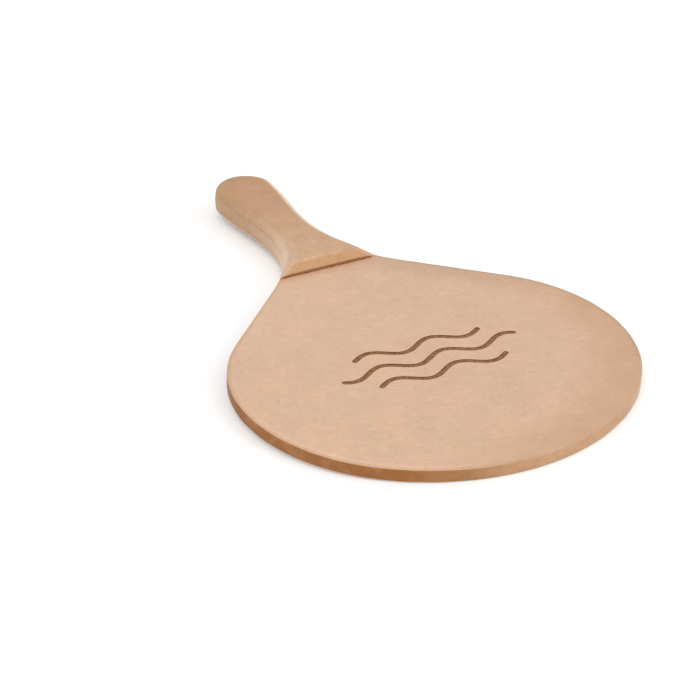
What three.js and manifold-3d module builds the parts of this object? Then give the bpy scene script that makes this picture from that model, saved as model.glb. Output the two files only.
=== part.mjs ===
// Frescobol racket: a flat fibreboard bat with a grip scale glued on each side of its handle.
// Millimetres, +Z up. The racket lies flat, with its butt towards -Y and its blade tip towards +Y.
// The origin is under the middle of the bounding box, in the plane of the lower scale's flat face.

import * as THREE from "three";
import { mergeVertices } from "three/addons/utils/BufferGeometryUtils.js";
import Module from "manifold-3d";

const wasm = await Module();
wasm.setup();

// Whole racket
const racketLength = 370;
const boardThickness = 8;

// Blade: the widest point lies this far from the tip
const bladeWidth = 248;
const widestFromTip = 110;

// Handle: the waist is its narrowest point, and the butt swells past it on each side
const waistWidth = 30.5;
const waistFromButt = 80;
const buttSwell = 4.6;

// How the curves share out the lengths that they join
const swellShare = 0.52;
const flareShare = 0.465;
const shoulderShare = 0.529;
const sideShare = 0.93;

// Grip scales: each stands square on the board for a land, then is rounded over or bevelled back
const scaleLength = 134;
const scaleThickness = 6;
const sideLand = 0.6;
const sideRoundingWidth = 6.4;
const frontLand = 1.8;
const frontBevelRun = 6.2;

// Eased edge of the blade, which fades out before it reaches the scales
const edgeRounding = 0.8;
const roundingFade = 12;

// Overrun of a cutting tool past the faces that it cuts
const cutOverrun = 10;

// Faces along each curve
const buttSteps = 12;
const swellSteps = 4;
const hollowSteps = 5;
const flareSteps = 12;
const shoulderSteps = 12;
const sideSteps = 22;
const tipSteps = 14;
const edgeRoundingSteps = 3;
const sideRoundingSteps = 6;

// Heights
const boardBottom = scaleThickness;
const boardTop = boardBottom + boardThickness;

// Places along the racket, measured from the middle of its length
const buttEnd = -racketLength / 2;
const tipEnd = racketLength / 2;
const waistY = buttEnd + waistFromButt;
const widestY = tipEnd - widestFromTip;
const frontLineY = buttEnd + scaleLength;

const quarterTurn = Math.PI / 2;
const halfTurn = Math.PI;

// The chain of tangent arcs that makes the +X half of the outline, from the butt to the tip
function outlineArcs() {
  const waistHalf = waistWidth / 2;
  const bladeHalf = bladeWidth / 2;
  const buttRadius = waistHalf + buttSwell;
  const buttCentre = new THREE.Vector2(0, buttEnd + buttRadius);

  // The swell and the hollow make one S between the butt's widest point and the waist
  const gripRun = waistY - buttCentre.y;
  const gripRadii = (gripRun ** 2 + buttSwell ** 2) / (2 * buttSwell);
  const swellRadius = swellShare * gripRadii;
  const hollowRadius = gripRadii - swellRadius;
  const swellCentre = new THREE.Vector2(buttRadius - swellRadius, buttCentre.y);
  const hollowCentre = new THREE.Vector2(waistHalf + hollowRadius, waistY);
  const gripTurn = hollowCentre.clone().sub(swellCentre).angle();

  // The flare and the shoulder are joined by the straight that touches both
  const bladeRun = widestY - waistY;
  const flareRadius = flareShare * bladeRun;
  const shoulderRadius = shoulderShare * bladeRun;
  const flareCentre = new THREE.Vector2(waistHalf + flareRadius, waistY);
  const shoulderCentre = new THREE.Vector2(bladeHalf - shoulderRadius, widestY);
  const between = shoulderCentre.clone().sub(flareCentre);
  const taper = Math.atan2(between.x, between.y) + Math.asin((flareRadius + shoulderRadius) / between.length());

  // The side and the tip make the front of the blade
  const sideRadius = sideShare * widestFromTip;
  const sideCentre = new THREE.Vector2(bladeHalf - sideRadius, widestY);
  const tipSquares = sideCentre.x ** 2 + widestFromTip ** 2 - sideRadius ** 2;
  const tipRadius = tipSquares / (2 * (widestFromTip - sideRadius));
  const tipCentre = new THREE.Vector2(0, tipEnd - tipRadius);
  const sideTurn = sideCentre.clone().sub(tipCentre).angle();

  return [
    { centre: buttCentre, radius: buttRadius, from: -quarterTurn, to: 0, steps: buttSteps },
    { centre: swellCentre, radius: swellRadius, from: 0, to: gripTurn, steps: swellSteps },
    {
      centre: hollowCentre, radius: hollowRadius, from: halfTurn + gripTurn, to: halfTurn,
      steps: hollowSteps, concave: true,
    },
    {
      centre: flareCentre, radius: flareRadius, from: halfTurn, to: halfTurn - taper,
      steps: flareSteps, concave: true,
    },
    {
      centre: shoulderCentre, radius: shoulderRadius, from: -taper, to: 0,
      steps: shoulderSteps, afterStraight: true,
    },
    { centre: sideCentre, radius: sideRadius, from: 0, to: sideTurn, steps: sideSteps },
    { centre: tipCentre, radius: tipRadius, from: sideTurn, to: quarterTurn, steps: tipSteps },
  ];
}

// Points of the half outline from butt to tip, each with its outward normal
function halfOutline() {
  const outline = [];
  for (const arc of outlineArcs()) {
    const { centre, radius, from, to, concave = false } = arc;
    const curve = new THREE.ArcCurve(centre.x, centre.y, radius, from, to, concave);
    const points = curve.getPoints(arc.steps);
    const repeatsLastPoint = outline.length > 0 && !arc.afterStraight;
    for (const point of points.slice(repeatsLastPoint ? 1 : 0)) {
      const normal = point.clone().sub(centre).normalize();
      outline.push({ point, normal: concave ? normal.negate() : normal });
    }
  }
  return outline;
}

// Closed solid with one ring of the whole outline at each level, drawn in by the level's inset
function outlineSolid(levels) {
  const outline = halfOutline();
  const last = outline.length - 1;
  const ringSize = 2 * last;
  const right = (i) => i;
  const left = (i) => (ringSize - i) % ringSize;

  const positions = [];
  for (const level of levels) {
    for (let i = 0; i < ringSize; i += 1) {
      const mirrored = i > last;
      const { point, normal } = outline[mirrored ? ringSize - i : i];
      const inset = level.inset(point.y);
      const x = point.x - normal.x * inset;
      positions.push(mirrored ? -x : x, point.y - normal.y * inset, level.z);
    }
  }

  const indices = [];
  const addTriangle = (a, b, c) => {
    if (a !== b && b !== c && c !== a) indices.push(a, b, c);
  };
  for (let ring = 0; ring < levels.length - 1; ring += 1) {
    const low = ring * ringSize;
    const high = low + ringSize;
    for (let i = 0; i < ringSize; i += 1) {
      const next = (i + 1) % ringSize;
      addTriangle(low + i, low + next, high + next);
      addTriangle(low + i, high + next, high + i);
    }
  }
  const topRing = (levels.length - 1) * ringSize;
  for (let i = 0; i < last; i += 1) {
    addTriangle(right(i), left(i), left(i + 1));
    addTriangle(right(i), left(i + 1), right(i + 1));
    addTriangle(topRing + right(i), topRing + left(i + 1), topRing + left(i));
    addTriangle(topRing + right(i), topRing + right(i + 1), topRing + left(i + 1));
  }

  const geometry = new THREE.BufferGeometry();
  geometry.setAttribute("position", new THREE.Float32BufferAttribute(positions, 3));
  geometry.setIndex(indices);
  return geometry;
}

// The blade's edge is rounded on both faces, and square where the scales are flush with it
function boardGeometry() {
  const insetAt = (share) => (y) => {
    const fade = THREE.MathUtils.smoothstep(y, frontLineY, frontLineY + roundingFade);
    return edgeRounding * fade * share;
  };
  const lower = [];
  const upper = [];
  for (let step = 0; step <= edgeRoundingSteps; step += 1) {
    const turn = (quarterTurn * step) / edgeRoundingSteps;
    const inset = insetAt(1 - Math.sin(turn));
    const rise = edgeRounding * (1 - Math.cos(turn));
    lower.push({ z: boardBottom + rise, inset });
    upper.unshift({ z: boardTop - rise, inset });
  }
  return outlineSolid([...lower, ...upper]);
}

// A scale before its front is cut: square at the glue line, rounded over to its flat face
function scaleBlank(base, outward) {
  const levels = [{ z: base, inset: () => 0 }];
  const roundingHeight = scaleThickness - sideLand;
  for (let step = 0; step <= sideRoundingSteps; step += 1) {
    const turn = (quarterTurn * step) / sideRoundingSteps;
    const inset = sideRoundingWidth * (1 - Math.cos(turn));
    const height = sideLand + roundingHeight * Math.sin(turn);
    levels.push({ z: base + outward * height, inset: () => inset });
  }
  return outlineSolid(outward > 0 ? levels : levels.reverse());
}

// The space that a scale may fill: its front stands square for the land, then bevels back
function frontEnvelope(base, outward) {
  const profile = new THREE.Shape();
  profile.moveTo(buttEnd - cutOverrun, -cutOverrun * outward);
  profile.lineTo(frontLineY, -cutOverrun * outward);
  profile.lineTo(frontLineY, frontLand * outward);
  profile.lineTo(frontLineY - frontBevelRun, scaleThickness * outward);
  profile.lineTo(frontLineY - frontBevelRun, (scaleThickness + cutOverrun) * outward);
  profile.lineTo(buttEnd - cutOverrun, (scaleThickness + cutOverrun) * outward);
  profile.closePath();

  const depth = bladeWidth + 2 * cutOverrun;
  const geometry = new THREE.ExtrudeGeometry(profile, { depth, bevelEnabled: false });
  const alongY = new THREE.Vector3(0, 1, 0);
  const alongZ = new THREE.Vector3(0, 0, 1);
  const alongX = new THREE.Vector3(1, 0, 0);
  geometry.applyMatrix4(new THREE.Matrix4().makeBasis(alongY, alongZ, alongX));
  geometry.translate(-depth / 2, 0, base);
  return geometry;
}

function toManifold(geometry) {
  const bare = geometry.clone();
  bare.deleteAttribute("normal");
  bare.deleteAttribute("uv");
  const merged = mergeVertices(bare);
  return new wasm.Manifold(new wasm.Mesh({
    numProp: 3,
    vertProperties: new Float32Array(merged.attributes.position.array),
    triVerts: new Uint32Array(merged.index.array),
  }));
}

function fromManifold(solid) {
  const mesh = solid.getMesh();
  const geometry = new THREE.BufferGeometry();
  geometry.setAttribute("position", new THREE.BufferAttribute(new Float32Array(mesh.vertProperties), 3));
  geometry.setIndex(new THREE.BufferAttribute(new Uint32Array(mesh.triVerts), 1));
  return geometry;
}

function scaleGeometry(base, outward) {
  const blank = toManifold(scaleBlank(base, outward));
  const envelope = toManifold(frontEnvelope(base, outward));
  return fromManifold(blank.intersect(envelope));
}

function namedMesh(name, geometry, color) {
  const material = new THREE.MeshStandardMaterial({ color, roughness: 0.82, metalness: 0 });
  geometry.computeVertexNormals();
  const mesh = new THREE.Mesh(geometry, material);
  mesh.name = name;
  return mesh;
}

const racket = new THREE.Group();
racket.add(namedMesh("racket_board", boardGeometry(), 0xd8b69a));
racket.add(namedMesh("upper_grip_scale", scaleGeometry(boardTop, 1), 0xccaa8d));
racket.add(namedMesh("lower_grip_scale", scaleGeometry(boardBottom, -1), 0xccaa8d));

export default racket;
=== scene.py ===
# Frescobol racket lying on a pale floor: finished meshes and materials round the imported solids.
# Metres, +Z up, +Y from the butt of the handle to the tip of the blade.
import math

import bmesh
import bpy
from mathutils import Euler, Matrix, Vector, noise


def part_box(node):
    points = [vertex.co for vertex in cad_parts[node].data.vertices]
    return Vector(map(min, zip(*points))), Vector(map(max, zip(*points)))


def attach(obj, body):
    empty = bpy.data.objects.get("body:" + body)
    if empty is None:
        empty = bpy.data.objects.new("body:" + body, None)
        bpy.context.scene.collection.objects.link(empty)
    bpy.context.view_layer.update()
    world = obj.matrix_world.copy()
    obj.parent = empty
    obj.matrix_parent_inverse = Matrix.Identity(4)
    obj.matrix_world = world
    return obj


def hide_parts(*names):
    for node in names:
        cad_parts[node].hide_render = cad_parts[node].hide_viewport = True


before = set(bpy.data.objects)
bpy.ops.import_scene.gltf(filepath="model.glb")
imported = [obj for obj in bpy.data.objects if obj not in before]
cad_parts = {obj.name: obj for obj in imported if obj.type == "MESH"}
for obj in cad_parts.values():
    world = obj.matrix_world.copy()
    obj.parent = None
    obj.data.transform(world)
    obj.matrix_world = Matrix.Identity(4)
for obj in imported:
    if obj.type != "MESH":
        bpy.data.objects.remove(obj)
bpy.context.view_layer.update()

# Sizes that the frame gives
BOARD_LOW, BOARD_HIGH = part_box("racket_board")
UPPER_LOW, UPPER_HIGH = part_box("upper_grip_scale")
LOWER_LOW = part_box("lower_grip_scale")[0]
BLADE_HALF = (BOARD_HIGH.x - BOARD_LOW.x) / 2
BUTT_END = BOARD_LOW.y
TIP_END = BOARD_HIGH.y
BOARD_BOTTOM = BOARD_LOW.z
BOARD_TOP = BOARD_HIGH.z
BOARD_THICKNESS = BOARD_TOP - BOARD_BOTTOM
SCALE_THICKNESS = UPPER_HIGH.z - UPPER_LOW.z
FRONT_LINE = UPPER_HIGH.y

# The outline's own sizes, as the solids have them
WIDEST_FROM_TIP = 0.110
WAIST_HALF = 0.01525
WAIST_FROM_BUTT = 0.080
BUTT_SWELL = 0.0046
SWELL_SHARE = 0.52
FLARE_SHARE = 0.465
SHOULDER_SHARE = 0.529
SIDE_SHARE = 0.93
SIDE_LAND = 0.0006
SIDE_ROUNDING_WIDTH = 0.0064
FRONT_LAND = 0.0018
FRONT_BEVEL_RUN = 0.0062

# Fine finish that only the meshes have
OUTLINE_STEP = 0.00125
EDGE_ROUNDING = 0.0007
EDGE_ROUNDING_STEPS = 5
ROUNDING_FADE = 0.012
GLUE_LINE_EASE = 0.00014
SANDED_WAVE = 0.00009
SIDE_ROUNDING_STEPS = 14
WALL_SHARES = (0.25, 0.5, 0.75)
FLAT_SUPPORT = 0.0004
RIM_BAND = 0.0055
FRONT_STEP = 0.0003
FRONT_ZONE = 0.013
SIDE_BLEND = 0.0014
TOP_BLEND = 0.0013
LAND_EASE = 0.0004
CORNER_LAND = 0.0003
WORN_CORNER_LAND = -0.0006
CORNER_INWARD_SHARE = 0.5
CORNER_BACK_SHARE = 0.35
FEATHER = 0.00005
BUTT_BARREL = 0.0009
BUTT_EXTRA_ROUNDING = 0.0024
TOP_INSETS = (0.0084, 0.0104)
SMOOTH_ANGLE = math.radians(30)
FLAT_FACE_WEIGHT = 100
WELD_DISTANCE = 1e-6
RIM_MARK = "near_rim"

# Patterns of unevenness: how wide their features are, and a shift that keeps them apart
EDGE_WEAR = (0.012, 3.1)
SANDING = (0.007, 8.3)
ROUNDING_BUMPS = (0.018, 5.7)
GLUE_LUMPS = (0.004, 2.2)
PATTERN_CONTRAST = 1.6

# The least and the most share of a size that unevenness leaves
EDGE_WEAR_RANGE = (0.75, 1.25)
GLUE_RANGE = (0.6, 1.2)

WAIST_Y = BUTT_END + WAIST_FROM_BUTT
WIDEST_Y = TIP_END - WIDEST_FROM_TIP
QUARTER = math.pi / 2


# Outline

def arc(centre, radius, start, end, concave=False):
    """Points and outward normals along one arc, about one outline step apart."""
    steps = max(4, math.ceil(abs(end - start) * radius / OUTLINE_STEP))
    samples = []
    for i in range(steps + 1):
        angle = start + (end - start) * i / steps
        ray = Vector((math.cos(angle), math.sin(angle)))
        samples.append((centre + ray * radius, -ray if concave else ray))
    return samples


def straight(start, end, normal):
    """Points between two arcs, without the ends that the arcs already have."""
    steps = max(2, math.ceil((end - start).length / OUTLINE_STEP))
    return [(start.lerp(end, i / steps), normal.copy()) for i in range(1, steps)]


def half_outline():
    """The +X half of the racket's outline from butt to tip, as points with outward normals."""
    butt_radius = WAIST_HALF + BUTT_SWELL
    butt = Vector((0, BUTT_END + butt_radius))
    grip_run = WAIST_Y - butt.y
    grip_radii = (grip_run ** 2 + BUTT_SWELL ** 2) / (2 * BUTT_SWELL)
    swell_radius = SWELL_SHARE * grip_radii
    hollow_radius = grip_radii - swell_radius
    swell = Vector((butt_radius - swell_radius, butt.y))
    hollow = Vector((WAIST_HALF + hollow_radius, WAIST_Y))
    grip_turn = math.atan2(hollow.y - swell.y, hollow.x - swell.x)

    blade_run = WIDEST_Y - WAIST_Y
    flare_radius = FLARE_SHARE * blade_run
    shoulder_radius = SHOULDER_SHARE * blade_run
    flare = Vector((WAIST_HALF + flare_radius, WAIST_Y))
    shoulder = Vector((BLADE_HALF - shoulder_radius, WIDEST_Y))
    between = shoulder - flare
    reach = (flare_radius + shoulder_radius) / between.length
    taper = math.atan2(between.x, between.y) + math.asin(reach)

    side_radius = SIDE_SHARE * WIDEST_FROM_TIP
    side = Vector((BLADE_HALF - side_radius, WIDEST_Y))
    tip_squares = side.x ** 2 + WIDEST_FROM_TIP ** 2 - side_radius ** 2
    tip_radius = tip_squares / (2 * (WIDEST_FROM_TIP - side_radius))
    tip = Vector((0, TIP_END - tip_radius))
    side_turn = math.atan2(side.y - tip.y, side.x - tip.x)

    outline = arc(butt, butt_radius, -QUARTER, 0)
    outline += arc(swell, swell_radius, 0, grip_turn)[1:]
    outline += arc(hollow, hollow_radius, math.pi + grip_turn, math.pi, True)[1:]
    outline += arc(flare, flare_radius, math.pi, math.pi - taper, True)[1:]
    shoulder_arc = arc(shoulder, shoulder_radius, -taper, 0)
    outline += straight(outline[-1][0], shoulder_arc[0][0], shoulder_arc[0][1])
    outline += shoulder_arc
    outline += arc(side, side_radius, 0, side_turn)[1:]
    outline += arc(tip, tip_radius, side_turn, QUARTER)[1:]
    outline[0][0].x = 0
    outline[-1][0].x = 0
    return outline


OUTLINE = half_outline()


def fade(share):
    """A share held between 0 and 1, with a gentle start and end."""
    share = min(1, max(0, share))
    return share * share * (3 - 2 * share)


def blade_share(y):
    """0 where the scales cover the board, 1 a fade's length in front of them."""
    return fade((y - FRONT_LINE) / ROUNDING_FADE)


def butt_share(y):
    """1 at the end of the butt, 0 from its widest point on."""
    return fade(1 - (y - BUTT_END) / (WAIST_HALF + BUTT_SWELL))


def unevenness(x, y, z, pattern):
    """Smooth noise between 0 and 1 in one of the patterns."""
    grain, shift = pattern
    place = Vector((x / grain + shift, y / grain, z / grain))
    return 0.5 + 0.5 * max(-1, min(1, noise.noise(place) * PATTERN_CONTRAST))


def part_way(span, share):
    """The value at a share of the way along a span."""
    return span[0] + (span[1] - span[0]) * share


# Meshes

def ring_mesh(outline, levels, closed_tip):
    """A closed bmesh from rings of the whole outline, one for each level.

    A level takes a point of the +X half, its normal and the side, and gives the ring's point in space.
    The first and last rings are marked 0 and the others 1, so a surface can tell how near its rim is.
    """
    bm = bmesh.new()
    mark = bm.verts.layers.float.new(RIM_MARK)
    rings = []
    last = len(outline) - 1
    left_indices = range(last - 1 if closed_tip else last, 0, -1)
    for level in levels:
        right = [level(point, normal, 1) for point, normal in outline]
        left = [level(*outline[i], -1) * Vector((-1, 1, 1)) for i in left_indices]
        rings.append([bm.verts.new(place) for place in right + left])
    for ring in rings[1:-1]:
        for vertex in ring:
            vertex[mark] = 1.0
    size = len(rings[0])
    for low, high in zip(rings, rings[1:]):
        for i in range(size):
            j = (i + 1) % size
            bm.faces.new((low[i], low[j], high[j], high[i]))
    for ring, facing_up in ((rings[0], False), (rings[-1], True)):
        for i in range(last):
            corners = [ring[i], ring[i + 1], ring[-(i + 1) % size], ring[-i % size]]
            unique = list(dict.fromkeys(corners))
            bm.faces.new(unique if facing_up else unique[::-1])
    return bm


def sanded_wave(point, z, side):
    """How far the sander cut into the blade's edge at one place."""
    return SANDED_WAVE * blade_share(point.y) * unevenness(side * point.x, point.y, z, SANDING)


def edge_radius(point, side):
    """The rounding of the board's edge: worn unevenly on the blade, nearly nothing under the scales."""
    worn = part_way(EDGE_WEAR_RANGE, unevenness(side * point.x, point.y, 0, EDGE_WEAR))
    share = blade_share(point.y)
    return GLUE_LINE_EASE * (1 - share) + EDGE_ROUNDING * worn * share


def rounding_level(face_z, inward, turn, inset=0.0):
    """One ring of the board's rounding towards a face, or one that lies further in on the face."""
    def place(point, normal, side):
        radius = edge_radius(point, side)
        depth = radius * (1 - math.sin(turn)) + inset + sanded_wave(point, face_z, side)
        drop = radius * (1 - math.cos(turn))
        flat = point - normal * (depth + BUTT_BARREL * butt_share(point.y))
        return Vector((flat.x, flat.y, face_z + inward * drop))
    return place


def wall_level(share):
    """One ring of the board's upright edge, at a share of its thickness; the butt is barrelled."""
    z = BOARD_BOTTOM + BOARD_THICKNESS * share
    barrel = BUTT_BARREL * (2 * share - 1) ** 2

    def place(point, normal, side):
        flat = point - normal * (sanded_wave(point, z, side) + barrel * butt_share(point.y))
        return Vector((flat.x, flat.y, z))
    return place


def face_levels(face_z, inward):
    """The rings from a face's inside to the end of its rounding."""
    levels = [rounding_level(face_z, inward, 0, inset) for inset in (RIM_BAND, FLAT_SUPPORT)]
    for i in range(EDGE_ROUNDING_STEPS + 1):
        levels.append(rounding_level(face_z, inward, QUARTER * i / EDGE_ROUNDING_STEPS))
    return levels


def board_levels():
    """Rounded at both faces of the blade, nearly square under the scales."""
    walls = [wall_level(share) for share in WALL_SHARES]
    return face_levels(BOARD_BOTTOM, 1) + walls + face_levels(BOARD_TOP, -1)[::-1]


def soft_minimum(first, second, blend):
    """The lesser of two heights, with the corner where they meet rounded off."""
    near = max(0, 1 - abs(first - second) / blend)
    return min(first, second) - near * near * blend / 4


def front_height(y):
    """How high a scale may rise over its base at one place along it, under its land and bevel."""
    behind = FRONT_LINE - y
    slope = (SCALE_THICKNESS - FRONT_LAND) / FRONT_BEVEL_RUN
    ease = max(0, 1 - behind / LAND_EASE)
    return FRONT_LAND + behind * slope - LAND_EASE * ease * ease / 2


def corner_height(inset, y, side):
    """The sanded-off corner between a scale's side and its bevel, lower on the -X side."""
    land = CORNER_LAND if side > 0 else WORN_CORNER_LAND
    return land + CORNER_INWARD_SHARE * inset + CORNER_BACK_SHARE * (FRONT_LINE - y)


def scale_level(base, outward, inset, rise):
    """One ring of a scale, kept under its bevel and its sanded-off corners."""
    inward_share = inset / SIDE_ROUNDING_WIDTH
    blend = SIDE_BLEND + (TOP_BLEND - SIDE_BLEND) * min(1, inward_share)

    def place(point, normal, side):
        bumps = unevenness(side * point.x, point.y, rise, ROUNDING_BUMPS)
        butt = butt_share(point.y) * (BUTT_BARREL + BUTT_EXTRA_ROUNDING * inward_share)
        flat = point - normal * (inset + butt + SANDED_WAVE * bumps * min(1, inset / SIDE_LAND))
        top = soft_minimum(rise, corner_height(inset, flat.y, side), SIDE_BLEND)
        top = max(min(rise, FEATHER), soft_minimum(top, front_height(flat.y), blend))
        return Vector((flat.x, flat.y, base + outward * top))
    return place


def scale_levels(base, outward):
    """Nearly square at the glue line, rounded over to the flat face, and bevelled at the front."""
    sizes = [(GLUE_LINE_EASE, 0), (0, GLUE_LINE_EASE)]
    for i in range(SIDE_ROUNDING_STEPS + 1):
        turn = QUARTER * i / SIDE_ROUNDING_STEPS
        rise = SIDE_LAND + (SCALE_THICKNESS - SIDE_LAND) * math.sin(turn)
        sizes.append((SIDE_ROUNDING_WIDTH * (1 - math.cos(turn)), rise))
    for inset in (SIDE_ROUNDING_WIDTH + FLAT_SUPPORT, *TOP_INSETS):
        sizes.append((inset, SCALE_THICKNESS))
    levels = [scale_level(base, outward, inset, rise) for inset, rise in sizes]
    return levels if outward > 0 else levels[::-1]


def handle_outline():
    """The outline as far as the scales need it, with closer points round the bevel."""
    handle = []
    for (point, normal), (after, after_normal) in zip(OUTLINE, OUTLINE[1:]):
        if point.y > FRONT_LINE + OUTLINE_STEP:
            break
        near_front = point.y > FRONT_LINE - FRONT_ZONE
        steps = math.ceil((after - point).length / FRONT_STEP) if near_front else 1
        for i in range(steps):
            handle.append((point.lerp(after, i / steps), normal.lerp(after_normal, i / steps).normalized()))
    return handle


def scale_bmesh(base, outward):
    """A closed scale, cut square across at the front line."""
    bm = ring_mesh(handle_outline(), scale_levels(base, outward), False)
    geometry = bm.verts[:] + bm.edges[:] + bm.faces[:]
    cut = bmesh.ops.bisect_plane(
        bm, geom=geometry, plane_co=(0, FRONT_LINE, base), plane_no=(0, 1, 0), clear_outer=True,
    )
    edges = [item for item in cut["geom_cut"] if isinstance(item, bmesh.types.BMEdge)]
    bmesh.ops.edgeloop_fill(bm, edges=edges)
    bmesh.ops.remove_doubles(bm, verts=bm.verts, dist=WELD_DISTANCE)
    return bm


def add_object(name, bm, materials):
    """An object in the scene from a bmesh, which is used up."""
    bmesh.ops.recalc_face_normals(bm, faces=bm.faces)
    mesh = bpy.data.meshes.new(name)
    bm.to_mesh(mesh)
    bm.free()
    for material in materials:
        mesh.materials.append(material)
    piece = bpy.data.objects.new(name, mesh)
    bpy.context.scene.collection.objects.link(piece)
    return piece


def smooth(piece):
    """Smooth shading that keeps flat faces flat and sharp edges sharp."""
    for polygon in piece.data.polygons:
        polygon.use_smooth = True
    piece.data.set_sharp_from_angle(angle=SMOOTH_ANGLE)
    modifier = piece.modifiers.new("flat_faces_lead", "WEIGHTED_NORMAL")
    modifier.keep_sharp = True
    modifier.weight = FLAT_FACE_WEIGHT


# Nodes

def new_material(name):
    material = bpy.data.materials.new(name)
    material.use_nodes = True
    material.node_tree.nodes.clear()
    return material, material.node_tree


def connect(tree, socket, value):
    """Feeds a socket from another node's output, or sets it to a plain value."""
    if isinstance(value, bpy.types.NodeSocket):
        tree.links.new(value, socket)
    else:
        socket.default_value = value


def add_node(tree, kind, settings=(), **inputs):
    """A node with its settings, its inputs named by their labels with _ for a space."""
    node = tree.nodes.new(kind)
    for key, value in dict(settings).items():
        setattr(node, key, value)
    for key, value in inputs.items():
        connect(tree, node.inputs[key.replace("_", " ")], value)
    return node


def calculate(tree, operation, first, second=0.0, clamp=False):
    node = add_node(tree, "ShaderNodeMath", {"operation": operation, "use_clamp": clamp})
    connect(tree, node.inputs[0], first)
    connect(tree, node.inputs[1], second)
    return node.outputs[0]


def multiply(tree, first, *others):
    for other in others:
        first = calculate(tree, "MULTIPLY", first, other)
    return first


def opposite(tree, mask):
    """1 where a mask is 0, and 0 where it is 1."""
    return calculate(tree, "SUBTRACT", 1.0, mask)


def ramp(tree, value, span, low=0.0, high=1.0, kind="SMOOTHSTEP"):
    """Low at a span's first value and beyond it, high at its second and beyond that."""
    node = add_node(
        tree, "ShaderNodeMapRange", {"interpolation_type": kind},
        Value=value, From_Min=span[0], From_Max=span[1], To_Min=low, To_Max=high,
    )
    return node.outputs["Result"]


# Mix node sockets repeat their names for each data type, so the colour ones are picked by type
def mix_colour(tree, factor, first, second, blend="MIX"):
    node = tree.nodes.new("ShaderNodeMix")
    node.data_type = "RGBA"
    node.blend_type = blend
    colours = [socket for socket in node.inputs if socket.type == "RGBA"]
    connect(tree, node.inputs[0], factor)
    connect(tree, colours[0], first)
    connect(tree, colours[1], second)
    return next(socket for socket in node.outputs if socket.type == "RGBA")


def srgb(red, green, blue):
    """A colour read as 0 to 255 display values, as the linear colour that a shader takes."""
    def linear(value):
        value /= 255
        return value / 12.92 if value <= 0.04045 else ((value + 0.055) / 1.055) ** 2.4
    return (linear(red), linear(green), linear(blue), 1.0)


def noise_value(tree, vector, size, detail=2.0, roughness=0.5):
    node = add_node(
        tree, "ShaderNodeTexNoise",
        Vector=vector, Scale=1 / size, Detail=detail, Roughness=roughness,
    )
    return node.outputs["Fac"]


class Spot:
    """What a material can ask of a point: where it lies, which way it faces, how near the rim it is."""

    def __init__(self, tree):
        coordinates = add_node(tree, "ShaderNodeTexCoord")
        self.vector = coordinates.outputs["Object"]
        place = add_node(tree, "ShaderNodeSeparateXYZ", Vector=self.vector)
        self.across = place.outputs["X"]
        self.along = place.outputs["Y"]
        self.height = place.outputs["Z"]
        normal = add_node(tree, "ShaderNodeSeparateXYZ", Vector=coordinates.outputs["Normal"])
        self.tipward = normal.outputs["Y"]
        self.steep = opposite(tree, calculate(tree, "ABSOLUTE", normal.outputs["Z"]))
        self.near_rim = add_node(tree, "ShaderNodeAttribute", {"attribute_name": RIM_MARK}).outputs["Fac"]


# Raw fibreboard: its fibres lie at several angles and dip into the sheet a little

PALE_FIBRE_TURNS = (0.2, 1.1, 2.0, 2.8)
DARK_FIBRE_TURNS = (0.7, 1.6, 2.4)
FIBRE_SHIFT = Vector((7.3, 3.1, 5.7))
FIBRE_DIP = 0.35
FIBRE_SOFTNESS = 0.12
PALE_FIBRE_TINT = (1.055, 1.10, 1.145, 1.0)
DARK_FIBRE_STRENGTH = 0.14
PORE_STRENGTH = 0.24
CLOUD_SPREAD = 0.035
MOTTLE_SPREAD = 0.027
FINE_SPREAD = 0.005
FINE_HEIGHT = 0.5
FIBRE_HEIGHT = 0.4

# Where noise starts to count and where it counts in full
NOISE_MIDDLE = (0.3, 0.7)
PORES = (0.72, 0.80)
BLOTCHES = (0.45, 0.68)
JOINT_PATCHES = (0.42, 0.62)
WORN_HIGHLIGHT_PATCHES = (0.35, 0.6)
ROUGH_PATCHES = (0.2, 0.8)
GLUE_STREAKS = (0.35, 0.65)
CHAR_PATCHES = (0.35, 0.68)

# How the surfaces take the light
BUMP_HEIGHT = 0.00012
BOARD_BUMP = 0.08
SCALE_BUMP = 0.14
RAW_BUMP = 0.3
BOARD_ROUGHNESS = (0.72, 0.88)
SCALE_ROUGHNESS = (0.68, 0.85)
SPECULAR_LEVEL = 0.3
SHEEN_ROUGHNESS = 0.4
WOOD_FUZZ = 0.25


def fibre_flecks(tree, vector, turns, length, width, cut):
    """Short fibres lying at several angles: 1 on a fibre, 0 between fibres."""
    total = None
    for index, turn in enumerate(turns):
        dip = (FIBRE_DIP * math.sin(3 * turn), FIBRE_DIP * math.cos(5 * turn))
        mapping = add_node(
            tree, "ShaderNodeMapping",
            Vector=vector, Location=FIBRE_SHIFT * index, Rotation=Euler((*dip, turn)),
            Scale=(1 / length, 1 / width, 1 / width),
        )
        texture = noise_value(tree, mapping.outputs["Vector"], size=1.0, detail=1.0, roughness=0.4)
        flecks = ramp(tree, texture, (cut, cut + FIBRE_SOFTNESS))
        total = flecks if total is None else calculate(tree, "MAXIMUM", total, flecks)
    return total


def varied(tree, value, spread):
    """Noise as a factor round 1, by up to that spread to each side."""
    return ramp(tree, value, NOISE_MIDDLE, 1 - spread, 1 + spread, "LINEAR")


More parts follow.
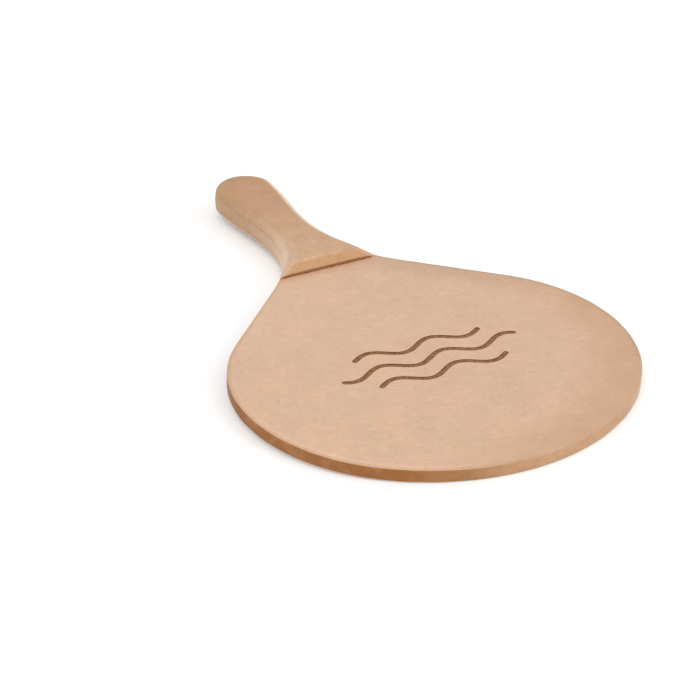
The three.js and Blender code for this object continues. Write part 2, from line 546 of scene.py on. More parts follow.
def fibreboard_surface(tree, vector, base):
    """Colour and height of raw fibreboard over a base colour: mottling, pale and dark fibres, pores."""
    clouds = noise_value(tree, vector, size=0.024, detail=4.0, roughness=0.6)
    mottle = noise_value(tree, vector, size=0.0055, detail=1.0)
    fine = noise_value(tree, vector, size=0.0015)
    pale = fibre_flecks(tree, vector, PALE_FIBRE_TURNS, length=0.0056, width=0.0019, cut=0.66)
    dark = fibre_flecks(tree, vector, DARK_FIBRE_TURNS, length=0.0050, width=0.0019, cut=0.65)
    pores = ramp(tree, noise_value(tree, vector, size=0.0016, detail=1.0, roughness=0.4), PORES)

    tone = multiply(
        tree, varied(tree, clouds, CLOUD_SPREAD),
        varied(tree, fine, FINE_SPREAD), varied(tree, mottle, MOTTLE_SPREAD),
    )
    colour = mix_colour(tree, 1.0, base, tone, "MULTIPLY")
    colour = mix_colour(tree, pale, colour, PALE_FIBRE_TINT, "MULTIPLY")
    colour = mix_colour(tree, multiply(tree, dark, DARK_FIBRE_STRENGTH), colour, srgb(160, 116, 82))
    colour = mix_colour(tree, multiply(tree, pores, PORE_STRENGTH), colour, srgb(140, 96, 62))

    raised = calculate(tree, "ADD", multiply(tree, fine, FINE_HEIGHT), multiply(tree, pale, FIBRE_HEIGHT))
    height = calculate(tree, "SUBTRACT", raised, multiply(tree, dark, FIBRE_HEIGHT))
    return colour, height


def finish_material(tree, colour, height, roughness, bump_strength, fuzz=0.0):
    """Joins the bump, the shader and the output. Fuzz is the sheen of the raw wood's fine hairs."""
    bump = add_node(
        tree, "ShaderNodeBump",
        Strength=bump_strength, Distance=BUMP_HEIGHT, Height=height,
    )
    shader = add_node(
        tree, "ShaderNodeBsdfPrincipled",
        Base_Color=colour, Roughness=roughness, Normal=bump.outputs["Normal"],
    )
    shader.inputs["Specular IOR Level"].default_value = SPECULAR_LEVEL
    shader.inputs["Sheen Weight"].default_value = fuzz
    shader.inputs["Sheen Roughness"].default_value = SHEEN_ROUGHNESS
    output = add_node(tree, "ShaderNodeOutputMaterial")
    tree.links.new(shader.outputs["BSDF"], output.inputs["Surface"])


def blotched(tree, spot, colour, where, size, strength, stain):
    """Lays uneven stained patches over a colour, where a mask lets them show."""
    patches = noise_value(tree, spot.vector, size, roughness=0.6)
    share = multiply(tree, ramp(tree, patches, BLOTCHES), where, strength)
    return mix_colour(tree, share, colour, stain)


# Tones that the board and the scales share

# Each span here and further down is where a mask changes, from its start to where it is complete
# The handle's side darkens towards the butt
BUTT_SIDE_SPAN = (WAIST_Y + 0.005, WAIST_Y - 0.035)
# Painted highlight on the handle's side behind the front line
FRONT_HIGHLIGHT = (FRONT_LINE - 0.050, FRONT_LINE - 0.016)
JOINT_REACH = (0.0008, 0.0001)
JOINT_STRENGTH = 0.45
LOWER_JOINT_SHARE = 0.35
JOINT_ALONG = (BUTT_END + 0.034, BUTT_END + 0.060)
JOINT_STEEPNESS = (0.3, 0.7)
JOINT_COLOUR = srgb(140, 102, 74)
STAIN_END = (-0.0296, -0.0316)


def butt_side_darkening(tree, spot):
    """1 round the butt, where the handle's side is darker, 0 from the waist on."""
    return ramp(tree, spot.along, BUTT_SIDE_SPAN)


def front_highlight(tree, spot):
    """1 along the stretch behind the front line, where a highlight is painted on the handle's side."""
    return ramp(tree, spot.along, FRONT_HIGHLIGHT)


def joint_line(tree, spot):
    """How dark the two glue joints show on the handle's side: in places, and gone a hair away from them."""
    middle = (BOARD_TOP + BOARD_BOTTOM) / 2
    from_middle = calculate(tree, "ABSOLUTE", calculate(tree, "SUBTRACT", spot.height, middle))
    away = calculate(tree, "ABSOLUTE", calculate(tree, "SUBTRACT", from_middle, BOARD_THICKNESS / 2))
    patches = noise_value(tree, spot.vector, size=0.02)
    return multiply(
        tree, ramp(tree, away, JOINT_REACH, high=JOINT_STRENGTH),
        ramp(tree, spot.height, (BOARD_BOTTOM, BOARD_TOP), low=LOWER_JOINT_SHARE),
        ramp(tree, spot.steep, JOINT_STEEPNESS), ramp(tree, spot.along, JOINT_ALONG),
        ramp(tree, patches, JOINT_PATCHES),
    )


# Tones of the board

def of_blade(first, second):
    """A span given in shares of the blade's half width."""
    return (BLADE_HALF * first, BLADE_HALF * second)


ON_BLADE = (FRONT_LINE - 0.004, FRONT_LINE + 0.006)
EDGE_STEEPNESS = (0.35, 0.8)
ARRIS_STEEPNESS = (0.02, 0.2)
ARRIS_STRENGTH = 0.3
# Painted light and shade on the blade's cut edge: darker on the +X side and towards the handle, a highlight
# at far -X
SCORCHED_AND_SHADED = of_blade(-0.12, 0.55)
FAR_CUT = of_blade(-0.25, -0.55)
CUT_HIGHLIGHT = of_blade(-0.45, -0.8)
CHARRED_AND_SHADED_ACROSS = of_blade(0.4, 0.8)
CHARRED_AND_SHADED_ALONG = of_blade(0.75, 0.45)
# Painted highlight along the +X rim of the face, with paler sanded fibres there too
SANDED_HIGHLIGHT_ACROSS = of_blade(0.15, 0.5)
SANDED_HIGHLIGHT_ALONG = of_blade(0.35, 0.75)
SANDED_HIGHLIGHT_RIM = (0.0, 1.0)
SANDED_HIGHLIGHT_STRENGTH = 0.9
TOASTED_ACROSS = of_blade(-0.15, 0.15)
TOASTED_RIM = (0.7, 1.0)
TOASTED_STRENGTH = 0.5
# Painted shade on the rounding of the face's -X rim
FAR_RIM_SHADE_ACROSS = of_blade(-0.2, -0.5)
FAR_RIM_SHADE_ALONG = of_blade(1.15, 0.85)
FAR_RIM_SHADE_RIM = (0.45, 1.0)
FAR_RIM_SHADE_STRENGTH = 0.7
# The face grows browner and darker towards the blade's rim on its -X side
BROWNING_RADIUS = of_blade(0.68, 1)
BROWNING_DIRECTION = Vector((-0.94, 0.34))
BROWNING_FACING = (-0.2, 0.6)
BROWNING_STRENGTH = (0.35, 0.75)
WARM_FRONT = (FRONT_LINE + 0.0095, FRONT_LINE)
WARM_STRENGTH = 0.45
STAINED_FRONT = (FRONT_LINE + 0.0034, FRONT_LINE + 0.0002)
CLEAN_ACROSS = (-0.018, -0.034)
CLEAN_SHARE = 0.3

# The straight that touches flare and shoulder on the -X side: its outward normal, and how far out it lies
SHOULDER_NORMAL = Vector((-0.688, -0.726))
SHOULDER_REACH = 0.0606
# Painted shade on the face along the -X shoulder, near the rim
SHOULDER_SHADE_INWARD = (0.025, 0.009)
SHOULDER_SHADE_ACROSS = (-0.018, -0.036)
SHOULDER_SHADE_ALONG = (0.035, -0.005)
SHOULDER_SHADE_TINT = (0.90, 0.885, 0.88, 1.0)


def reach_towards(tree, across, along, direction):
    """How far a point lies in a level direction."""
    return calculate(tree, "ADD", multiply(tree, across, direction.x), multiply(tree, along, direction.y))


def rim_browning(tree, spot):
    """How much browner and darker the face is towards the blade's rim on its -X side."""
    forward = calculate(tree, "SUBTRACT", spot.along, TIP_END - BLADE_HALF)
    squares = calculate(
        tree, "ADD", multiply(tree, spot.across, spot.across), multiply(tree, forward, forward),
    )
    radius = calculate(tree, "SQRT", squares)
    towards = reach_towards(tree, spot.across, forward, BROWNING_DIRECTION)
    side = ramp(tree, calculate(tree, "DIVIDE", towards, radius), BROWNING_FACING)
    patches = noise_value(tree, spot.vector, size=0.02)
    strength = ramp(tree, patches, NOISE_MIDDLE, *BROWNING_STRENGTH, "LINEAR")
    return multiply(tree, side, ramp(tree, radius, BROWNING_RADIUS), strength)


def shoulder_painted_shade(tree, spot):
    """How much painted shade darkens the face along the -X shoulder, towards the line that touches flare
    and shoulder.
    """
    reach = reach_towards(tree, spot.across, spot.along, SHOULDER_NORMAL)
    inward = calculate(tree, "SUBTRACT", SHOULDER_REACH, reach)
    return multiply(
        tree, ramp(tree, inward, SHOULDER_SHADE_INWARD),
        ramp(tree, spot.across, SHOULDER_SHADE_ACROSS), ramp(tree, spot.along, SHOULDER_SHADE_ALONG),
    )


def cleaner_end(tree, spot):
    """1 along most of the front line, less at its -X end, where the face is cleaner."""
    return ramp(tree, spot.across, CLEAN_ACROSS, 1.0, CLEAN_SHARE)


def cut_colour(tree, spot):
    """The blade's cut edge: its own burnt brown, with painted shade on the +X side, deepest towards the
    handle, painted light on the -X side, and a painted highlight at far -X.
    """
    # Painted light: the cut is paler on the -X side.
    pale_cut = mix_colour(tree, ramp(tree, spot.across, FAR_CUT), srgb(228, 184, 141), srgb(220, 175, 135))
    colour = mix_colour(tree, ramp(tree, spot.across, SCORCHED_AND_SHADED), pale_cut, srgb(170, 111, 60))
    charred_and_shaded = multiply(tree, ramp(tree, spot.along, CHARRED_AND_SHADED_ALONG), ramp(tree, spot.across, CHARRED_AND_SHADED_ACROSS))
    colour = mix_colour(tree, charred_and_shaded, colour, srgb(154, 92, 30))
    return mix_colour(tree, ramp(tree, spot.across, CUT_HIGHLIGHT), colour, srgb(236, 202, 176))


def board_side_colour(tree, spot):
    """The board's edge along the handle, between the scales."""
    colour = mix_colour(tree, butt_side_darkening(tree, spot), srgb(219, 185, 154), srgb(202, 163, 127))
    # Painted highlight behind the front line.
    return mix_colour(tree, front_highlight(tree, spot), colour, srgb(238, 210, 184))


def face_colour(tree, spot, on_blade):
    """The sanded face, painted lighter towards +X: a painted highlight and a toasted tint along its +X rim,
    painted shade along the -X shoulder and at the -X rim, and warm along the front line.
    """
    # Painted light: the face is lighter towards +X and darker towards -X, as the light fell across it.
    colour = mix_colour(
        tree, ramp(tree, spot.across, of_blade(-1, 1)), srgb(218, 181, 152), srgb(222, 185, 155),
    )
    # Painted highlight along the +X rim, partly also paler sanded fibres.
    sanded = multiply(
        tree, ramp(tree, spot.along, SANDED_HIGHLIGHT_ALONG), ramp(tree, spot.across, SANDED_HIGHLIGHT_ACROSS),
        ramp(tree, spot.near_rim, SANDED_HIGHLIGHT_RIM, high=SANDED_HIGHLIGHT_STRENGTH),
    )
    colour = mix_colour(tree, sanded, colour, srgb(231, 194, 166))
    toasted = multiply(
        tree, ramp(tree, spot.near_rim, TOASTED_RIM, high=TOASTED_STRENGTH),
        ramp(tree, spot.across, TOASTED_ACROSS),
    )
    colour = mix_colour(tree, toasted, colour, srgb(206, 158, 114))
    # Painted shade along the -X shoulder.
    colour = mix_colour(tree, shoulder_painted_shade(tree, spot), colour, SHOULDER_SHADE_TINT, "MULTIPLY")
    warm = multiply(tree, ramp(tree, spot.along, WARM_FRONT, high=WARM_STRENGTH), cleaner_end(tree, spot))
    colour = mix_colour(tree, warm, colour, srgb(204, 142, 96))
    # Painted shade on the -X rim's rounding.
    far_rim_shade = multiply(
        tree, ramp(tree, spot.across, FAR_RIM_SHADE_ACROSS), on_blade, ramp(tree, spot.along, FAR_RIM_SHADE_ALONG),
        ramp(tree, spot.near_rim, FAR_RIM_SHADE_RIM, high=FAR_RIM_SHADE_STRENGTH),
    )
    return mix_colour(tree, far_rim_shade, colour, srgb(186, 158, 139))


def board_material():
    """Sanded face, and a browner cut edge, paler along the handle; face and edge carry painted light and
    shade.
    """
    material, tree = new_material("raw_fibreboard_board")
    spot = Spot(tree)
    on_blade = ramp(tree, spot.along, ON_BLADE)
    on_edge = ramp(tree, spot.steep, EDGE_STEEPNESS)
    on_arris = multiply(tree, ramp(tree, spot.steep, ARRIS_STEEPNESS), opposite(tree, on_edge))
    edge = mix_colour(tree, on_blade, board_side_colour(tree, spot), cut_colour(tree, spot))
    base = mix_colour(tree, on_edge, face_colour(tree, spot, on_blade), edge)
    base = mix_colour(tree, multiply(tree, on_arris, ARRIS_STRENGTH), base, srgb(222, 180, 144))
    colour, height = fibreboard_surface(tree, spot.vector, base)

    stained = calculate(tree, "SUBTRACT", ramp(tree, spot.along, STAINED_FRONT), on_edge, clamp=True)
    stained = multiply(tree, stained, cleaner_end(tree, spot))
    colour = blotched(tree, spot, colour, stained, size=0.004, strength=0.5, stain=srgb(186, 134, 100))
    joint = multiply(tree, joint_line(tree, spot), opposite(tree, on_blade))
    colour = mix_colour(tree, joint, colour, JOINT_COLOUR)
    raw = multiply(tree, on_edge, on_blade)
    colour = blotched(tree, spot, colour, raw, size=0.006, strength=0.30, stain=srgb(166, 112, 66))
    colour = blotched(tree, spot, colour, raw, size=0.011, strength=0.25, stain=srgb(206, 160, 116))
    # Browner and darker towards the rim on the -X side.
    colour = mix_colour(tree, rim_browning(tree, spot), colour, srgb(198, 155, 118))

    patches = noise_value(tree, spot.vector, size=0.006, roughness=0.6)
    roughness = ramp(tree, patches, ROUGH_PATCHES, *BOARD_ROUGHNESS)
    bump = calculate(tree, "ADD", BOARD_BUMP, multiply(tree, raw, RAW_BUMP))
    finish_material(tree, colour, height, roughness, bump, WOOD_FUZZ)
    return material


# Tones of the scales

CORE_STEEPNESS = (0.005, 0.2)
BEVEL_FACING = (0.2, 0.54)
LAND_FACING = (0.64, 0.9)
ARRIS_FACING = (0.04, 0.2)
PAST_ARRIS_FACING = (0.5, 0.3)
# Pale patches on the arris between top and bevel: partly wear, partly a painted highlight
WORN_ARRIS_HIGHLIGHT = 0.8
# The scales darken towards the butt
BUTTWARD_SPAN = (FRONT_LINE, WAIST_Y - 0.07)
# Painted highlight on the scale's top at its +X rim behind the front
TOP_HIGHLIGHT_ACROSS = (0.0, WAIST_HALF * 0.5)
TOP_HIGHLIGHT_RIM = (0.3, 1.0)
FAR_SIDE = (-0.006, -0.022)
ROUTED_ALONG = (FRONT_LINE - 0.014, FRONT_LINE - 0.006)
ROUTED_TOP_STRENGTH = 0.6
# Painted light on the scales below the board
UNDERSIDE_PAINTED_LIGHT = (BOARD_BOTTOM, BOARD_BOTTOM - SCALE_THICKNESS / 3)
# Painted highlight on the -X rounding round the waist
ROUNDING_HIGHLIGHT_START = (WAIST_Y - 0.07, WAIST_Y - 0.05)
ROUNDING_HIGHLIGHT_END = (WAIST_Y + 0.045, WAIST_Y)
ROUNDING_HIGHLIGHT_ACROSS = (0.0, WAIST_HALF * -0.4)
ROUNDING_HIGHLIGHT_TOP_STEEPNESS = (0.0, 0.065)
ROUNDING_HIGHLIGHT_SIDE_STEEPNESS = (0.1, 0.9)
ROUNDING_HIGHLIGHT_SIDE_SHARE = 0.2
# Painted shade on the rim of the butt
BUTT_SHADE_ALONG = (BUTT_END + 0.017, BUTT_END + 0.006)
BUTT_SHADE_ACROSS = (WAIST_HALF * 1.2, WAIST_HALF * 0.4)
BUTT_SHADE_RIM = (0.2, 1.0)
BUTT_SHADE_STRENGTH = 0.65


def scale_top_colour(tree, spot, buttward_darkening, front_highlight_share, routed):
    """The scale's flat face: darker towards the butt, with a painted highlight at its +X rim behind the
    front.
    """
    # Painted highlight at the +X rim behind the front.
    top_rim_highlight = multiply(
        tree, front_highlight_share, ramp(tree, spot.across, TOP_HIGHLIGHT_ACROSS), ramp(tree, spot.near_rim, TOP_HIGHLIGHT_RIM),
    )
    colour = mix_colour(tree, buttward_darkening, srgb(208, 169, 135), srgb(193, 148, 109))
    colour = mix_colour(tree, top_rim_highlight, colour, srgb(209, 174, 144))
    return mix_colour(tree, multiply(tree, routed, ROUTED_TOP_STRENGTH), colour, srgb(209, 163, 122))


def scale_side_colour(tree, spot, buttward_darkening, front_highlight_share, routed):
    """The scale's rounded side, with painted light: paler and greyer below the board, and a painted
    highlight behind the front.
    """
    colour = mix_colour(tree, buttward_darkening, srgb(223, 187, 155), srgb(206, 165, 131))
    # Painted highlight behind the front line.
    colour = mix_colour(tree, front_highlight_share, colour, srgb(231, 200, 171))
    colour = mix_colour(tree, routed, colour, srgb(212, 166, 128))
    colour = mix_colour(tree, butt_side_darkening(tree, spot), colour, srgb(195, 154, 115))
    # Painted light: paler and greyer below the board.
    return mix_colour(tree, ramp(tree, spot.height, UNDERSIDE_PAINTED_LIGHT), colour, srgb(214, 193, 172))


def rounding_highlight(tree, spot):
    """1 where a highlight is painted on the -X rounding round the waist, on its upper part."""
    return multiply(
        tree, ramp(tree, spot.along, ROUNDING_HIGHLIGHT_START), ramp(tree, spot.along, ROUNDING_HIGHLIGHT_END),
        ramp(tree, spot.across, ROUNDING_HIGHLIGHT_ACROSS), ramp(tree, spot.steep, ROUNDING_HIGHLIGHT_TOP_STEEPNESS),
        ramp(tree, spot.steep, ROUNDING_HIGHLIGHT_SIDE_STEEPNESS, 1.0, ROUNDING_HIGHLIGHT_SIDE_SHARE),
    )


def butt_rim_shade(tree, spot):
    """How much painted shade darkens the rim of the butt, where its rounding faces away from the light."""
    return multiply(
        tree, ramp(tree, spot.along, BUTT_SHADE_ALONG), ramp(tree, spot.near_rim, BUTT_SHADE_RIM, high=BUTT_SHADE_STRENGTH),
        ramp(tree, spot.across, BUTT_SHADE_ACROSS),
    )


def scale_material():
    """Routed and sanded fibreboard, more open and orange on the bevel and brown on the cut land."""
    material, tree = new_material("raw_fibreboard_scale")
    spot = Spot(tree)
    on_bevel = ramp(tree, spot.tipward, BEVEL_FACING)
    stain = ramp(tree, spot.across, STAIN_END, 1.0, 0.0)
    on_land = multiply(tree, ramp(tree, spot.tipward, LAND_FACING), stain)
    buttward_darkening = ramp(tree, spot.along, BUTTWARD_SPAN)
    front_highlight_share = front_highlight(tree, spot)
    far = ramp(tree, spot.across, FAR_SIDE)
    routed = multiply(tree, far, ramp(tree, spot.along, ROUTED_ALONG))
    top = scale_top_colour(tree, spot, buttward_darkening, front_highlight_share, routed)
    side = scale_side_colour(tree, spot, buttward_darkening, front_highlight_share, routed)
    base = mix_colour(tree, ramp(tree, spot.steep, CORE_STEEPNESS), top, side)
    # Painted highlight on the -X rounding.
    base = mix_colour(tree, rounding_highlight(tree, spot), base, srgb(240, 217, 196))
    # Painted shade on the butt's rim.
    base = mix_colour(tree, butt_rim_shade(tree, spot), base, srgb(172, 136, 112))

    arris_noise = noise_value(tree, spot.vector, size=0.004, roughness=0.6)
    # Pale patches on the arris: partly wear, partly a painted highlight.
    worn = multiply(
        tree, ramp(tree, spot.tipward, ARRIS_FACING), ramp(tree, spot.tipward, PAST_ARRIS_FACING),
        ramp(tree, arris_noise, WORN_HIGHLIGHT_PATCHES, high=WORN_ARRIS_HIGHLIGHT), opposite(tree, far),
    )
    base = mix_colour(tree, worn, base, srgb(226, 186, 150))
    base = mix_colour(tree, on_bevel, base, srgb(209, 162, 120))
    base = mix_colour(tree, on_land, base, srgb(158, 110, 68))
    colour, height = fibreboard_surface(tree, spot.vector, base)
    colour = mix_colour(tree, joint_line(tree, spot), colour, JOINT_COLOUR)
    colour = blotched(tree, spot, colour, 1.0, size=0.009, strength=0.15, stain=srgb(184, 140, 104))
    colour = blotched(tree, spot, colour, on_bevel, size=0.005, strength=0.25, stain=srgb(176, 124, 80))

    patches = noise_value(tree, spot.vector, size=0.009, roughness=0.6)
    roughness = ramp(tree, patches, ROUGH_PATCHES, *SCALE_ROUGHNESS)
    bump = calculate(tree, "ADD", SCALE_BUMP, multiply(tree, on_bevel, RAW_BUMP))
    finish_material(tree, colour, height, roughness, bump, WOOD_FUZZ)
    return material


# Glue and burnt wood

GLUE_ROUGHNESS = 0.5
GLUE_BUMP = 0.2
CHAR_ROUGHNESS = 0.9
CHAR_BUMP = 0.4
GROOVE_WALL_STEEPNESS = (0.2, 0.7)
GROOVE_WALL_STRENGTH = 0.8


def glue_material():
    """Dried brown glue, sanded away to the wood's colour at the -X end of the front line."""
    material, tree = new_material("dried_glue")
    spot = Spot(tree)
    streaks = noise_value(tree, spot.vector, size=0.003, detail=3.0, roughness=0.6)
    colour = mix_colour(tree, ramp(tree, streaks, GLUE_STREAKS), srgb(124, 78, 40), srgb(158, 108, 64))
    colour = mix_colour(tree, ramp(tree, spot.across, STAIN_END), colour, srgb(210, 164, 128))
    finish_material(tree, colour, streaks, GLUE_ROUGHNESS, GLUE_BUMP)
    return material


def burnt_material():
    """Laser-burnt fibreboard at the bottom and the walls of a groove."""
    material, tree = new_material("burnt_fibreboard")
    spot = Spot(tree)
    char = noise_value(tree, spot.vector, size=0.0022, detail=3.0, roughness=0.65)
    colour = mix_colour(tree, ramp(tree, char, CHAR_PATCHES), srgb(128, 85, 54), srgb(162, 118, 84))
    wall = ramp(tree, spot.steep, GROOVE_WALL_STEEPNESS, high=GROOVE_WALL_STRENGTH)
    colour = mix_colour(tree, wall, colour, srgb(74, 44, 28))
    finish_material(tree, colour, char, CHAR_ROUGHNESS, CHAR_BUMP)
    return material


# Engraving: three wavy lines burnt into the face

WAVE_CENTRE_Y = 0.070
WAVE_SPACING = 0.0155
WAVE_LENGTHS = (0.084, 0.118, 0.084)
WAVE_AMPLITUDE = 0.0042
WAVE_PERIOD = 0.042
WAVE_HALF_WIDTH = 0.0017
WAVE_STEPS = 96
WAVE_END_STEPS = 8
ENGRAVING_DEPTH = 0.00035
CUTTER_OVERRUN = 0.001


def wave_spine(centre_y, length):
    """Points along the middle of one wavy line."""
    spine = []
    for i in range(WAVE_STEPS + 1):
        x = -length / 2 + length * i / WAVE_STEPS
        spine.append(Vector((x, centre_y + WAVE_AMPLITUDE * math.sin(2 * math.pi * x / WAVE_PERIOD))))
    return spine


def wave_end(end, inner):
    """Points of the half circle round one end of a wavy line."""
    along = (end - inner).normalized()
    across = Vector((-along.y, along.x))
    points = []
    for i in range(1, WAVE_END_STEPS):
        turn = math.pi * i / WAVE_END_STEPS
        points.append(end + (across * math.cos(turn) + along * math.sin(turn)) * WAVE_HALF_WIDTH)
    return points


def wave_loop(centre_y, length):
    """The closed outline of one wavy line."""
    spine = wave_spine(centre_y, length)
    one_side, other_side = [], []
    for i, point in enumerate(spine):
        along = (spine[min(WAVE_STEPS, i + 1)] - spine[max(0, i - 1)]).normalized()
        across = Vector((-along.y, along.x))
        one_side.append(point + across * WAVE_HALF_WIDTH)
        other_side.append(point - across * WAVE_HALF_WIDTH)
    first_end = wave_end(spine[0], spine[1])
    last_end = wave_end(spine[-1], spine[-2])
    return one_side + last_end + other_side[::-1] + first_end


def add_wave(bm, centre_y, length):
    """One wavy line as a closed solid, from the groove's bottom to over the face."""
    loop = wave_loop(centre_y, length)
    bottom = [bm.verts.new((point.x, point.y, BOARD_TOP - ENGRAVING_DEPTH)) for point in loop]
    top = [bm.verts.new((point.x, point.y, BOARD_TOP + CUTTER_OVERRUN)) for point in loop]
    count = len(loop)
    for i in range(count):
        j = (i + 1) % count
        bm.faces.new((bottom[i], bottom[j], top[j], top[i]))
    bm.faces.new(bottom[::-1])
    bm.faces.new(top)


def engraving_cutter(burnt):
    bm = bmesh.new()
    for i, length in enumerate(WAVE_LENGTHS):
        add_wave(bm, WAVE_CENTRE_Y + (i - 1) * WAVE_SPACING, length)
    return add_object("engraving_cutter", bm, [burnt])


# Pieces

def make_board(face, burnt):
    """The finished board, with the wavy lines cut into its face."""
    board = add_object("racket_board_finished", ring_mesh(OUTLINE, board_levels(), True), [face, burnt])
    cutter = engraving_cutter(burnt)
    cut = board.modifiers.new("engraving", "BOOLEAN")
    cut.operation = "DIFFERENCE"
    cut.object = cutter
    cut.solver = "EXACT"
    cut.material_mode = "TRANSFER"
    bpy.context.view_layer.objects.active = board
    bpy.ops.object.modifier_apply(modifier=cut.name)
    bpy.data.objects.remove(cutter)
    smooth(board)
    return board


def make_scale(name, base, outward, finish):
    scale = add_object(name, scale_bmesh(base, outward), [finish])
    smooth(scale)
    return scale


BEAD_SIZE = 0.00055
BEAD_COLUMNS = 160
BEAD_STEPS = 6
BEAD_END_RUN = 0.002
BEAD_END_SHARE = 0.15
BEAD_LAP = 0.0001


def bead_size(x, half, base):
    """The bead's height and width at one place across: uneven, and thin at its ends."""
    near_end = min(1, (half - abs(x)) / BEAD_END_RUN)
    uneven = part_way(GLUE_RANGE, unevenness(x, 0, base, GLUE_LUMPS))
    return BEAD_SIZE * uneven * max(BEAD_END_SHARE, near_end)


def make_glue_bead(name, base, outward, glue):
    """Thin uneven fillet of dried glue in the corner at a scale's front."""
    half = min(sample[0].x for sample in OUTLINE if abs(sample[0].y - FRONT_LINE) < 2 * OUTLINE_STEP)
    bm = bmesh.new()
    rows = []
    for i in range(BEAD_COLUMNS + 1):
        x = -half + 2 * half * i / BEAD_COLUMNS
        size = bead_size(x, half, base)
        section = []
        for k in range(BEAD_STEPS + 1):
            turn = QUARTER * k / BEAD_STEPS
            section.append((FRONT_LINE + size * (1 - math.sin(turn)), size * (1 - math.cos(turn))))
        section += [(FRONT_LINE - BEAD_LAP, size), (FRONT_LINE - BEAD_LAP, 0)]
        rows.append([bm.verts.new((x, y, base + outward * rise)) for y, rise in section])
    for low, high in zip(rows, rows[1:]):
        count = len(low)
        for k in range(count):
            after = (k + 1) % count
            bm.faces.new((low[k], low[after], high[after], high[k]))
    bm.faces.new(rows[0])
    bm.faces.new(rows[-1][::-1])
    bead = add_object(name, bm, [glue])
    smooth(bead)
    return bead


face_finish = board_material()
scale_finish = scale_material()
glue_finish = glue_material()
burnt_finish = burnt_material()

board = make_board(face_finish, burnt_finish)
upper_scale = make_scale("upper_grip_scale_finished", BOARD_TOP, 1, scale_finish)
lower_scale = make_scale("lower_grip_scale_finished", BOARD_BOTTOM, -1, scale_finish)
upper_bead = make_glue_bead("upper_glue_bead", BOARD_TOP, 1, glue_finish)
lower_bead = make_glue_bead("lower_glue_bead", BOARD_BOTTOM, -1, glue_finish)

for piece in (board, upper_scale, lower_scale, upper_bead, lower_bead):
    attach(piece, "root")
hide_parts("racket_board")
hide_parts("upper_grip_scale")
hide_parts("lower_grip_scale")


# Stage: the floor touches the lower scale's front edge and the blade's tip, as the racket lies

FLOOR_HALF = 6.0
FLOOR_GAP = 0.0001
FLOOR_GLOW = 0.22
HEEL = Vector((0, FRONT_LINE - FRONT_BEVEL_RUN, LOWER_LOW.z))
TOE = Vector((0, TIP_END - EDGE_ROUNDING, BOARD_BOTTOM))
FLOOR_TILT = math.atan2(TOE.z - HEEL.z, TOE.y - HEEL.y)
WHITE = (1.0, 1.0, 1.0, 1.0)
FLOOR_GREY = (0.8, 0.8, 0.8, 1.0)
SEEN_FLOOR_GREY = (0.95, 0.95, 0.95, 1.0)


def seen_directly(tree):
    """1 for what the camera, a reflection or a clear material shows of the surroundings."""
    path = add_node(tree, "ShaderNodeLightPath")
    seen = calculate(tree, "MAXIMUM", path.outputs["Is Camera Ray"], path.outputs["Is Glossy Ray"])
    return calculate(tree, "MAXIMUM", seen, path.outputs["Is Transmission Ray"])


def join_shaders(tree, kind, first, second, **inputs):
    """A node that adds or mixes two shaders, which are its last two inputs."""
    node = add_node(tree, kind, **inputs)
    tree.links.new(first.outputs[0], node.inputs[-2])
    tree.links.new(second.outputs[0], node.inputs[-1])
    return node


def floor_material():
    """Pale floor whose open part reads as white to the camera and keeps the object's shadow."""
    material, tree = new_material("pale_floor")
    plain = add_node(tree, "ShaderNodeBsdfDiffuse", Color=FLOOR_GREY)
    paler = add_node(tree, "ShaderNodeBsdfDiffuse", Color=SEEN_FLOOR_GREY)
    glow = add_node(tree, "ShaderNodeEmission", Color=WHITE, Strength=FLOOR_GLOW)
    glowing = join_shaders(tree, "ShaderNodeAddShader", paler, glow)
    top = join_shaders(tree, "ShaderNodeMixShader", plain, glowing, Fac=seen_directly(tree))
    clear = add_node(tree, "ShaderNodeBsdfTransparent")
    underneath = add_node(tree, "ShaderNodeNewGeometry").outputs["Backfacing"]
    one_sided = join_shaders(tree, "ShaderNodeMixShader", top, clear, Fac=underneath)
    output = add_node(tree, "ShaderNodeOutputMaterial")
    tree.links.new(one_sided.outputs[0], output.inputs["Surface"])
    return material


def make_floor():
    bm = bmesh.new()
    corners = ((-1, -1), (1, -1), (1, 1), (-1, 1))
    bm.faces.new([bm.verts.new((x * FLOOR_HALF, y * FLOOR_HALF, 0)) for x, y in corners])
    floor = add_object("floor", bm, [floor_material()])
    under_heel = Matrix.Translation(HEEL - Vector((0, 0, FLOOR_GAP)))
    floor.matrix_world = under_heel @ Matrix.Rotation(FLOOR_TILT, 4, "X")


AMBIENT = 0.78
LAMP_DISTANCE = 4.0

CAMERA_AZIMUTH = 149.128
CAMERA_ELEVATION = 30.894
CAMERA_ROLL = 2.211
CAMERA_PLACE = Vector((0.5915, 0.9675, 0.6592))
CAMERA_LENS = 110.69
SENSOR_WIDTH = 36.0


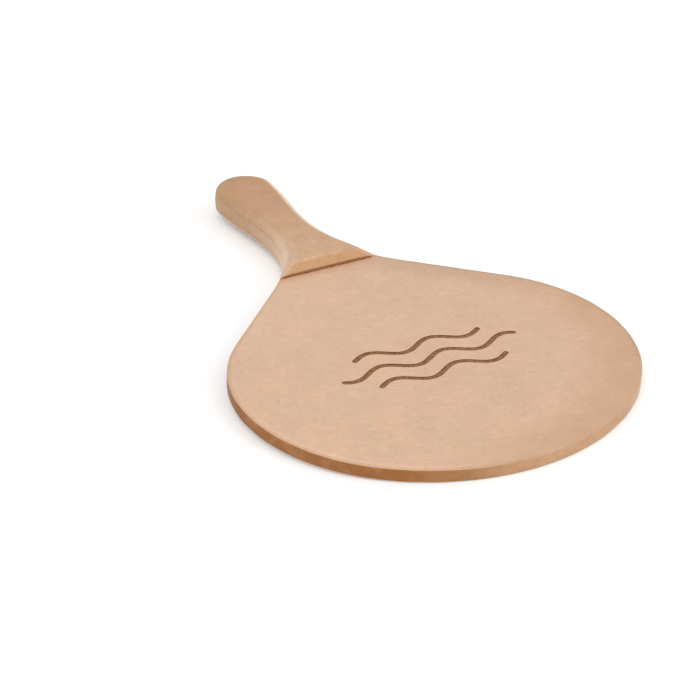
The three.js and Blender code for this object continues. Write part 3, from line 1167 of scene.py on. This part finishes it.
def make_world():
    """Even surroundings: white to the camera and in reflections, plain soft light for the object."""
    world = bpy.data.worlds.new("studio")
    bpy.context.scene.world = world
    world.use_nodes = True
    tree = world.node_tree
    tree.nodes.clear()
    extra = multiply(tree, seen_directly(tree), 1.0 - AMBIENT)
    strength = calculate(tree, "ADD", extra, AMBIENT)
    background = add_node(tree, "ShaderNodeBackground", Color=WHITE, Strength=strength)
    output = add_node(tree, "ShaderNodeOutputWorld")
    tree.links.new(background.outputs[0], output.inputs["Surface"])


def direction(azimuth, elevation):
    """The way from the object to a lamp or camera at those angles in degrees."""
    a = math.radians(azimuth)
    e = math.radians(elevation)
    return Vector((math.sin(a) * math.cos(e), -math.cos(a) * math.cos(e), math.sin(e)))


def make_lamp(name, turn, elevation, size, strength):
    """A square soft lamp turned that far round from the camera, which lights the blade that strongly."""
    back = direction(CAMERA_AZIMUTH + turn, elevation)
    data = bpy.data.lights.new(name, "AREA")
    data.shape = "SQUARE"
    data.size = size
    data.energy = strength * (math.pi * LAMP_DISTANCE) ** 2
    lamp = bpy.data.objects.new(name, data)
    bpy.context.scene.collection.objects.link(lamp)
    lamp.location = Vector((0, WIDEST_Y, BOARD_TOP)) + back * LAMP_DISTANCE
    lamp.rotation_mode = "QUATERNION"
    lamp.rotation_quaternion = (-back).to_track_quat("-Z", "Y")


def make_camera():
    back = direction(CAMERA_AZIMUTH, CAMERA_ELEVATION)
    data = bpy.data.cameras.new("camera")
    data.lens = CAMERA_LENS
    data.sensor_width = SENSOR_WIDTH
    data.sensor_fit = "HORIZONTAL"
    camera = bpy.data.objects.new("camera", data)
    bpy.context.scene.collection.objects.link(camera)
    aim = (-back).to_track_quat("-Z", "Y").to_matrix().to_4x4()
    roll = Matrix.Rotation(math.radians(CAMERA_ROLL), 4, "Z")
    camera.matrix_world = Matrix.Translation(CAMERA_PLACE) @ aim @ roll
    bpy.context.scene.camera = camera


make_floor()
make_world()
make_lamp("right_lamp", turn=70, elevation=35, size=1.8, strength=0.18)
make_lamp("left_lamp", turn=-54, elevation=30, size=1.8, strength=0.08)
make_lamp("top_lamp", turn=0, elevation=85, size=2.4, strength=0.06)
make_camera()
bpy.context.scene.view_settings.view_transform = "Standard"
